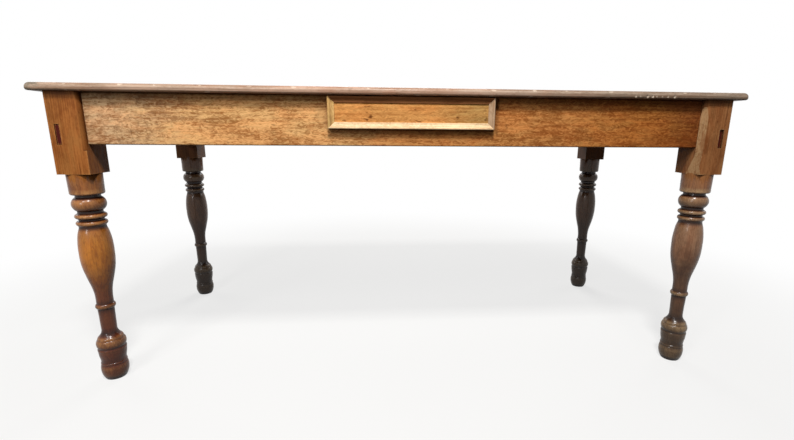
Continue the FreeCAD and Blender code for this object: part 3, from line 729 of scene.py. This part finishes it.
def carve(piece, tool_mesh, operation):
    """Join another closed shape to a piece, or cut it away."""
    tool = new_piece("tool", tool_mesh)
    modifier = piece.modifiers.new(operation, "BOOLEAN")
    modifier.operation = operation
    modifier.solver = "EXACT"
    modifier.object = tool
    ready = piece.evaluated_get(bpy.context.evaluated_depsgraph_get())
    mesh = bpy.data.meshes.new_from_object(ready)
    # Wear takes little off a piece, and a Boolean that fails takes most of it.
    most_wear = 3 * MM
    for before, after in zip(reach_of(piece.data), reach_of(mesh)):
        if after < before - most_wear:
            raise RuntimeError(f"{piece.name} shrank in a {operation.lower()}")
    piece.modifiers.clear()
    piece.data = mesh
    bpy.data.objects.remove(tool)


def rub_faces(made, share):
    """Store on each face a share of paint: above 0 it is pale, for rubbed wood and painted
    highlights, and below 0 it is dark, for painted shade.
    """
    rubbed = made.loops.layers.float.new("wear")
    for face in made.faces:
        for loop in face.loops:
            loop[rubbed] = share(face)


def finish_piece(piece, material, nodes, body):
    """Give a piece its material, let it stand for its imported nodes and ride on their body."""
    mesh = piece.data
    if "custom_normal" in mesh.attributes:
        mesh.attributes.remove(mesh.attributes["custom_normal"])
    mesh.materials.clear()
    mesh.materials.append(material)
    mesh.set_sharp_from_angle(angle=SHARP_ANGLE)
    weighted = piece.modifiers.new("Flat faces stay flat", "WEIGHTED_NORMAL")
    weighted.keep_sharp = True
    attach(piece, body)
    if nodes:
        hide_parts(*nodes)


def node_middle(node):
    """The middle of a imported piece."""
    low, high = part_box(node)
    return (low + high) / 2


def dress(node, material, body, sharpness=1.0):
    """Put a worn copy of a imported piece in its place, its edges worn by a share of the arris."""
    made = node_copy(node)
    ease_edges(made, sharpness * bpy.context.scene.table_wear.arris)
    piece = new_piece(f"{node}_worn", plain_mesh(node, made))
    finish_piece(piece, material, [node], body)


def turned_profile(node):
    """The height of a leg's block, and the radius at each height of the turning under it."""
    middle = node_middle(node)
    low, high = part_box(node)
    half_block = (high.x - low.x) / 2
    block_bottom = high.z
    rings = {}
    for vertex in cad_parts[node].data.vertices:
        radius = math.hypot(vertex.co.x - middle.x, vertex.co.y - middle.y)
        if radius > half_block + MM:
            block_bottom = min(block_bottom, vertex.co.z)
        else:
            height = round(vertex.co.z, 5)
            rings[height] = max(rings.get(height, 0), radius)
    profile = sorted(
        (height, radius) for height, radius in rings.items() if height <= block_bottom + MERGE_GAP
    )
    return block_bottom, profile


def smooth_profile(profile):
    """Divide a profile finely, round where it curves and straight where it has a corner."""
    points = [Vector(point) for point in profile]
    step_length = 2.5 * MM
    fine = []
    for number, (start, end) in enumerate(zip(points, points[1:])):
        before = points[number - 1] if number else start
        after = points[number + 2] if number + 2 < len(points) else end
        span = end - start
        leave = span
        arrive = span
        if number and span.angle(start - before) < SHARP_ANGLE:
            leave = (end - before) * (span.length / (span.length + (start - before).length))
        if number + 2 < len(points) and span.angle(after - end) < SHARP_ANGLE:
            arrive = (after - start) * (span.length / (span.length + (after - end).length))
        steps = max(1, round(span.length / step_length))
        for step in range(steps):
            t = step / steps
            fine.append(
                (2 * t ** 3 - 3 * t ** 2 + 1) * start + (t ** 3 - 2 * t ** 2 + t) * leave
                + (3 * t ** 2 - 2 * t ** 3) * end + (t ** 3 - t ** 2) * arrive
            )
    fine.append(points[-1])
    return fine


def ring_wear_and_light(profile):
    """How far each point of a profile stands out of its surroundings, from -1 to 1; the material
    paints crests pale, as worn wood with a painted highlight, and hollows dark, with dirt and
    painted shade.
    """
    window = 14 * MM
    full_rise = 3.5 * MM
    wear = []
    for point in profile:
        near = [other.y for other in profile if abs(other.x - point.x) < window]
        rise = point.y - sum(near) / len(near)
        wear.append(max(-1.0, min(1.0, rise / full_rise)))
    return wear


def turning_line(middle, profile):
    """A standing line of points, each with the radius of its ring and its wear, which carries
    painted highlights and painted shade too.
    """
    mesh = bpy.data.meshes.new("turning_line")
    places = [(middle.x, middle.y, point.x) for point in profile]
    mesh.from_pydata(places, [(n, n + 1) for n in range(len(places) - 1)], [])
    for name, values in (("radius", [p.y for p in profile]), ("ring_wear_and_light", ring_wear_and_light(profile))):
        mesh.attributes.new(name, "FLOAT", "POINT").data.foreach_set("value", values)
    return mesh


def turned_leg(node, tree, wear, seed, material):
    """One leg: a square block with its mortises, on a finely turned shaft."""
    middle = node_middle(node)
    block_bottom, profile = turned_profile(node)
    profile = smooth_profile(profile)
    # The shaft reaches into the block, which is cut off just above its lower face.
    overlap = 3 * MM
    trim = 0.05 * MM
    profile.append(profile[-1] + Vector((overlap, 0)))
    shaft = run_tree(tree, turning_line(middle, profile), {
        "Segments": 72, "Dent depth": wear.dent_depth, "Dent size": wear.dent_size,
        "Seed": seed, "Wood": material,
    })
    made = node_copy(node)
    cut = bmesh.ops.bisect_plane(
        made, geom=made.verts[:] + made.edges[:] + made.faces[:],
        plane_co=(0, 0, block_bottom + trim), plane_no=(0, 0, 1), clear_inner=True,
    )
    rim = [item for item in cut["geom_cut"] if isinstance(item, bmesh.types.BMEdge)]
    bmesh.ops.contextual_create(made, geom=rim)
    # The block's slanting rounded edges are painted darker: painted shade, as where they turn from
    # the light.
    painted_shade_share = -0.3
    rub_faces(made, lambda face: painted_shade_share * (
        abs(face.normal.z) < 0.2 and min(abs(face.normal.x), abs(face.normal.y)) > 0.2
    ))
    ease_edges(made, wear.arris)
    piece = new_piece(f"{node}_worn", plain_mesh(node, made))
    if node == "leg_front_right":
        carve(piece, worn_arris(node, block_bottom), "DIFFERENCE")
    carve(piece, shaft, "UNION")
    finish_piece(piece, material, [node], TABLE_BODY)


def worn_arris(node, block_bottom):
    """What years of knocks took off the inner arris of the right front block."""
    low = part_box(node)[0]
    beyond = 20 * MM
    overrun = 8 * MM
    made = bmesh.new()
    sections = []
    # Bottom to top: the cut's height, its width on the front face and its depth on the inner one.
    for height, width, depth in (
        (block_bottom - 5 * MM, 17 * MM, 36 * MM), (0.625, 15 * MM, 9 * MM),
        (0.700, 15 * MM, 9 * MM), (0.722, 10 * MM, 6 * MM), (0.737, -2 * MM, -1.2 * MM),
    ):
        # The cut runs a length past the block's two faces.
        over = Vector((abs(width), -abs(depth), 0)).normalized() * overrun
        along = Vector((low.x + width, low.y, height)) + over
        inward = Vector((low.x, low.y + depth, height)) - over
        sections.append([
            made.verts.new(place)
            for place in (along, inward, (low.x - beyond, low.y - beyond, height))
        ])
    for lower, upper in zip(sections, sections[1:]):
        for a, b in ((0, 1), (1, 2), (2, 0)):
            made.faces.new((lower[a], lower[b], upper[b], upper[a]))
    made.faces.new(sections[0])
    made.faces.new(sections[-1])
    bmesh.ops.recalc_face_normals(made, faces=made.faces)
    # The cut faces are painted pale: worn wood, and partly painted light where the facet turns to
    # the lamps.
    pale_share = 0.7
    rub_faces(made, lambda face: pale_share)
    return plain_mesh("worn_arris", made)


class DressTop(bpy.types.Operator):
    """Lay the five scrubbed boards of the top, with chips in their outer edges"""

    bl_idname = "farmhouse_table.dress_top"
    bl_label = "Top boards"

    def execute(self, context):
        woods = context.scene.table_woods
        wear = context.scene.table_wear
        low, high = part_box(BOARDS[0])
        high.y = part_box(BOARDS[-1])[1].y
        chips = self.cut_chips(wear, low, high)
        pale_band_depth = 12 * MM
        pale_share = 0.38
        draw = random.Random(31)
        for number, node in enumerate(BOARDS):
            shade = draw.uniform(0.82, 1.06)
            # The left tip's colour is painted shade.
            stops = [
                (place, tuple(channel * shade for channel in colour)) for place, colour in (
                    (-0.865, woods.top_tip_painted_shade), (-0.815, woods.top_left), (-0.1, woods.top_middle),
                    (0.7, woods.top_right),
                )
            ]
            # Old pine, scrubbed for years and never polished: pale and greyish, dry, with the
            # dark lines of its growth, and fresh wood where knocks took a chip.
            wood = old_wood(
                "Pine, scrubbed and dry", node, "X", 40 + number, stops, contrast=0.8,
                rings=0.2, streaks=0.55, mottle=0.3,
                pith=(0, draw.uniform(-0.02, 0.02), draw.uniform(0.05, 0.09)),
                scratches=0.35, bare=woods.top_bare_and_highlight, gloss=0.6, polish=0.12,
            )
            made = node_copy(node)
            # The upper round of both long edges is painted pale: a painted highlight where the
            # lamps catch it, and partly wear from sleeves.
            rub_faces(made, lambda face: pale_share * (
                abs(face.calc_center_median().y) > high.y - pale_band_depth
                and abs(face.normal.y) > 0.4 and 0.1 < face.normal.z < 0.6
            ))
            ease_edges(made, wear.seam)
            piece = new_piece(f"{node}_worn", plain_mesh(node, made))
            for cutter in chips:
                carve(piece, cutter.copy(), "DIFFERENCE")
            finish_piece(piece, wood, [node], TABLE_BODY)
        return {"FINISHED"}

    def cut_chips(self, wear, low, high):
        """The pebbles that take chips off the front and back edges, a mesh for each line."""
        tree = chip_tree()
        lines = []
        # The first lines run outside the lower and the upper round of the edge, at 45 degrees.
        out = 2.8 * MM
        for z, reach in ((low.z - out, 5.8 * MM), (high.z + out, 8.3 * MM)):
            corners = [
                (low.x - out, low.y - out, z), (high.x + out, low.y - out, z),
                (high.x + out, high.y + out, z), (low.x - out, high.y + out, z),
            ]
            lines.append((corners, [(0, 1), (2, 3)], reach, 1.0, 1.0))
        # Knocks have splintered the front edge over the right leg: small chips, close together.
        splintered = (0.565, 0.665)
        aside = 5 * MM
        corners = [(x, low.y - aside, low.z + aside) for x in splintered]
        lines.append((corners, [(0, 1)], 5.5 * MM, 0.14, 0.4))
        chips = []
        for number, (corners, edges, reach, spread, size) in enumerate(lines):
            mesh = bpy.data.meshes.new("chip_line")
            mesh.from_pydata(corners, edges, [])
            chips.append(run_tree(tree, mesh, {
                "Spacing": wear.chip_spacing * spread, "Reach": reach, "Seed": 7 + number,
                "Length": wear.chip_length * size, "Depth": wear.chip_depth,
            }))
        return chips


class TurnLegs(bpy.types.Operator):
    """Turn the four legs, polished on the swell and dark at the foot"""

    bl_idname = "farmhouse_table.turn_legs"
    bl_label = "Turned legs"

    def execute(self, context):
        woods = context.scene.table_woods
        wear = context.scene.table_wear
        tree = turning_tree()
        # The heights, from a leg's middle, of its foot, ankle, vase, rings and block.
        places = (-0.30, -0.14, 0.0, 0.08, 0.19)
        # The back legs' colours are painted darker: painted shade of the shadow under the top.
        back_painted_shade = 0.55
        back_rubbed_painted_shade = 0.4
        for number, node in enumerate(LEGS):
            if node == "leg_front_left":
                colours = (woods.foot, woods.ankle, woods.vase, woods.rings, woods.block)
                rubbed = woods.leg_rubbed_and_highlight
            else:
                colours = (
                    woods.grey_foot, woods.grey_ankle, woods.grey_vase, woods.grey_rings,
                    woods.grey_block,
                )
                rubbed = woods.grey_rubbed_and_highlight
            if "back" in node:
                colours = [
                    tuple(back_painted_shade * channel for channel in colour) for colour in colours
                ]
                rubbed = tuple(back_rubbed_painted_shade * channel for channel in rubbed)
            # Pine, turned, stained and polished: dark at the foot and in the hollows, where grime
            # and painted shade gather, honey on the swell, tan on the worn rings, whose crests
            # also carry a painted highlight, with soft highlights from the polish. The block has
            # no polish.
            wood = old_wood(
                "Pine, turned and polished", node, "Z", 20 + number,
                list(zip(places, colours)), contrast=0.85, pith=(0, 0.055, 0.03),
                ring=4 * MM, streaks=0.7, mottle=0.5, blotches=1.35, cracks=0.35, flecks=0.4,
                bare=rubbed, rubbed=0.8, grime_and_shade=1.2, grime_and_shade_reach=22 * MM, gloss=0.4, polish=0.5,
                polished_below=0.17,
            )
            turned_leg(node, tree, wear, 3 + number, wood)
        return {"FINISHED"}


class DressRails(bpy.types.Operator):
    """Saw the four rails, faded at the left and redder towards the right"""

    bl_idname = "farmhouse_table.dress_rails"
    bl_label = "Rails"

    def execute(self, context):
        woods = context.scene.table_woods
        long_stops = [
            (-0.72, woods.rail_end), (-0.45, woods.rail_left), (-0.2, woods.rail_left),
            (0.05, woods.rail_middle), (0.35, woods.rail_middle), (0.6, woods.rail_right),
            (0.76, woods.rail_far),
        ]
        end_stops = [(-0.25, woods.rail_middle), (0.25, woods.rail_right)]
        for number, (node, axis) in enumerate(RAILS.items()):
            # Pine, planed and waxed long ago: mottled honey brown with pin knots, nearly
            # without gloss. The ends of its tenons drank stain and are dark red.
            # Grime with a long reach paints shade on the rail under the top and in its corners.
            wood = old_wood(
                "Pine, planed and waxed", node, axis, 60 + number,
                long_stops if axis == "X" else end_stops, contrast=1.1, pith=(0, 0.09, 0.02),
                streaks=0.28, mottle=1.5, blotches=0.95, cracks=0.2, flecks=0.6, fleck_size=1.7,
                grime_and_shade=1.4, grime_and_shade_reach=40 * MM,
                weathered=-0.55 if node == "front_rail" else None, rubbed=0.9, tip=woods.tenon,
            )
            dress(node, wood, TABLE_BODY)
        return {"FINISHED"}


class DressInside(bpy.types.Operator):
    """Dress the runners, the guides and the glue blocks in raw wood"""

    bl_idname = "farmhouse_table.dress_inside"
    bl_label = "Runners, guides and glue blocks"

    def execute(self, context):
        woods = context.scene.table_woods
        for number, (node, axis) in enumerate(INNER_PIECES.items()):
            # Pine, sawn and left raw where nobody looks: grey brown, rough, without gloss.
            wood = old_wood(
                "Pine, sawn and raw", node, axis, 80 + number, [(0, woods.raw)],
                pith=(0, 0.04, 0.05), rings=0.4, mottle=0.2, rubbed=0.2, grime_and_shade=0.6, gloss=0.75,
            )
            dress(node, wood, TABLE_BODY)
        return {"FINISHED"}


class DressDrawer(bpy.types.Operator):
    """Dress the drawer: its honey front, its cream frame and its raw box"""

    bl_idname = "farmhouse_table.dress_drawer"
    bl_label = "Drawer"

    def execute(self, context):
        woods = context.scene.table_woods
        # Pine, planed and waxed, paler than the rail because the moulding shields it.
        wood = old_wood(
            "Pine, planed and waxed", "drawer_front", "X", 101,
            [(0.04, woods.field), (0.16, woods.field_right)], contrast=0.8,
            pith=(0, 0.10, 0.03), mottle=1.0, cracks=0.1, flecks=0.95, fleck_size=1.9, alone=True,
        )
        dress("drawer_front", wood, DRAWER_BODY, 0.6)
        for number, (node, axis) in enumerate(MOULDINGS.items()):
            # Pale pine, planed to a moulding and varnished: cream where it is clean, with brown
            # dirt and painted shade along its inner edge. The top strip's darker colour is painted
            # shade.
            cream = getattr(woods, node.removeprefix("drawer_"))
            wood = old_wood(
                "Pine, moulded and varnished", node, axis, 110 + number, [(0, cream)],
                contrast=0.8, flecks=0.3, grime_and_shade=1.2, alone=True,
            )
            dress(node, wood, DRAWER_BODY, 0.5)
        for number, (node, axis) in enumerate(DRAWER_BOX.items()):
            # Thin pine, planed and left raw: dull and dusty.
            wood = old_wood(
                "Pine, planed and raw", node, axis, 120 + number, [(0, woods.raw)],
                pith=(0, 0.03, 0.07), rings=0.4, mottle=0.2, rubbed=0.2, grime_and_shade=0.6, gloss=0.7,
                alone=True,
            )
            dress(node, wood, DRAWER_BODY, 0.5)
        return {"FINISHED"}


class NailDrawer(bpy.types.Operator):
    """Nail the drawer's bottom up to its back"""

    bl_idname = "farmhouse_table.nail_drawer"
    bl_label = "Drawer nails"

    def execute(self, context):
        low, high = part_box("drawer_bottom")
        back_low, back_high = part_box("drawer_back")
        y = (back_low.y + back_high.y) / 2
        count = 5
        margin = 32 * MM
        proud = 0.2 * MM
        # A hammer drives them a few millimetres out of line.
        stray_x = 6
        stray_y = 2
        step = (high.x - low.x - 2 * margin) / (count - 1)
        draw = random.Random(5)
        mesh = bpy.data.meshes.new("nail_places")
        mesh.from_pydata([
            (low.x + margin + step * n + draw.uniform(-stray_x, stray_x) * MM,
             y + draw.uniform(-stray_y, stray_y) * MM, low.z - proud)
            for n in range(count)
        ], [], [])
        iron = forged_iron("Iron, drawn and rusted")
        nails = run_tree(nail_tree(), mesh, {
            "Head": context.scene.table_wear.nail_head, "Iron": iron,
        })
        piece = new_piece("drawer_bottom_nails", nails)
        finish_piece(piece, iron, [], DRAWER_BODY)
        return {"FINISHED"}


class SetStage(bpy.types.Operator):
    """Lay the pale floor, hang the lamps and place the camera as in the photograph"""

    bl_idname = "farmhouse_table.set_stage"
    bl_label = "Floor, lamps and camera"

    def execute(self, context):
        scene = context.scene
        stage = scene.table_stage
        scene.view_settings.view_transform = "Standard"
        self.lay_floor(stage)
        self.light_room(scene)
        for lamp in LAMPS:
            self.hang_lamp(*lamp)
        self.place_camera(scene, stage)
        return {"FINISHED"}

    def lay_floor(self, stage):
        """A wide plain floor, which fades into the white background far from the table."""
        half = 9.0
        under = 0.2 * MM
        mesh = bpy.data.meshes.new("floor")
        corners = [(-half, -half), (half, -half), (half, half), (-half, half)]
        mesh.from_pydata([(x, y, -under) for x, y in corners], [], [(0, 1, 2, 3)])
        floor = new_piece("floor", mesh)
        material, tree = new_material("Plain pale floor")
        seen = self.seen_directly(tree)
        tone = add(
            tree, "ShaderNodeMix", {0: seen, 6: stage.floor_bounce, 7: stage.floor}, 2,
            data_type="RGBA",
        )
        shader = add(tree, "ShaderNodeBsdfDiffuse", {"Color": tone})
        glow = add(tree, "ShaderNodeEmission", {"Color": (1, 1, 1), "Strength": 1.0})
        place = add(tree, "ShaderNodeTexCoord", out="Object")
        distance = add(tree, "ShaderNodeVectorMath", {0: place}, "Value", operation="LENGTH")
        # The share of plain white grows from under the table to where the fade ends.
        near, far, least = 1.0, 2.2, 0.7
        away = add(
            tree, "ShaderNodeMapRange", {"Value": distance, 1: near, 2: far, 3: least, 4: 1.0},
            interpolation_type="SMOOTHSTEP",
        )
        share = add(tree, "ShaderNodeMath", {0: away, 1: seen}, operation="MULTIPLY")
        mixed = add(tree, "ShaderNodeMixShader", {0: share, 1: shader, 2: glow})
        add(tree, "ShaderNodeOutputMaterial", {0: mixed})
        mesh.materials.append(material)

    def seen_directly(self, tree):
        """Whether a ray comes from the camera, a mirror or glass, not from diffuse light."""
        path = add(tree, "ShaderNodeLightPath").node.outputs
        seen = path["Is Camera Ray"]
        for ray in ("Is Glossy Ray", "Is Transmission Ray"):
            seen = add(tree, "ShaderNodeMath", {0: seen, 1: path[ray]}, operation="MAXIMUM")
        return seen

    def light_room(self, scene):
        """A white background that lights the table only faintly."""
        world = bpy.data.worlds.new("Pale room")
        world.use_nodes = True
        tree = world.node_tree
        tree.nodes.clear()
        unseen, full = 0.02, 1.0
        strength = add(
            tree, "ShaderNodeMapRange", {"Value": self.seen_directly(tree), 3: unseen, 4: full},
        )
        light = add(tree, "ShaderNodeBackground", {"Color": (1, 1, 1), "Strength": strength})
        add(tree, "ShaderNodeOutputWorld", {0: light})
        scene.world = world

    def hang_lamp(self, name, place, target, width, power):
        """Hang a soft square lamp that faces a target."""
        lamp = bpy.data.lights.new(name, "AREA")
        lamp.shape = "SQUARE"
        lamp.size = width
        lamp.energy = power
        hung = bpy.data.objects.new(name, lamp)
        hung.location = place
        hung.rotation_euler = (Vector(target) - Vector(place)).to_track_quat("-Z", "Y").to_euler()
        bpy.context.scene.collection.objects.link(hung)

    def place_camera(self, scene, stage):
        """Place the camera as the photograph was taken."""
        pitch, yaw, roll = stage.pitch, stage.yaw, stage.roll
        ahead = Vector((
            math.sin(yaw) * math.cos(pitch), math.cos(yaw) * math.cos(pitch), -math.sin(pitch),
        ))
        right = Vector((math.cos(yaw), -math.sin(yaw), 0))
        up = right.cross(ahead)
        leaned_right = right * math.cos(roll) + up * math.sin(roll)
        leaned_up = up * math.cos(roll) - right * math.sin(roll)
        lens = bpy.data.cameras.new("Camera")
        lens.sensor_width = SENSOR_WIDTH
        lens.lens = stage.lens
        lens.shift_x = PHOTO_SHIFT[0] / PHOTO_WIDTH
        lens.shift_y = PHOTO_SHIFT[1] / PHOTO_WIDTH
        lens.clip_start = 0.05
        camera = bpy.data.objects.new("Camera", lens)
        turn = Matrix((leaned_right, leaned_up, -ahead)).transposed().to_4x4()
        camera.matrix_world = Matrix.Translation(stage.camera_place) @ turn
        scene.collection.objects.link(camera)
        scene.camera = camera


class TablePanel(bpy.types.Panel):
    """Lists the steps that dress the table, and the sizes and colours that they use"""

    bl_idname = "VIEW3D_PT_farmhouse_table"
    bl_label = "Farmhouse Table"
    bl_space_type = "VIEW_3D"
    bl_region_type = "UI"
    bl_category = "Farmhouse Table"

    def draw(self, context):
        column = self.layout.column()
        for step in STEPS:
            column.operator(step.bl_idname)
        for group in (
            context.scene.table_woods, context.scene.table_wear, context.scene.table_stage,
        ):
            for name in group.__annotations__:
                column.prop(group, name)


STEPS = (DressTop, TurnLegs, DressRails, DressInside, DressDrawer, NailDrawer, SetStage)
GROUPS = {"table_woods": TableWoods, "table_wear": TableWear, "table_stage": TableStage}


def register():
    """Give Blender the settings, the steps and the panel."""
    for kind in (*GROUPS.values(), *STEPS, TablePanel):
        bpy.utils.register_class(kind)
    for name, group in GROUPS.items():
        setattr(bpy.types.Scene, name, bpy.props.PointerProperty(type=group))


def unregister():
    """Take them away from Blender again."""
    for name in GROUPS:
        delattr(bpy.types.Scene, name)
    for kind in (TablePanel, *STEPS, *GROUPS.values()):
        bpy.utils.unregister_class(kind)


def main():
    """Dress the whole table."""
    register()
    for step in STEPS:
        category, name = step.bl_idname.split(".")
        getattr(getattr(bpy.ops, category), name)()


if __name__ == "__main__":
    main()
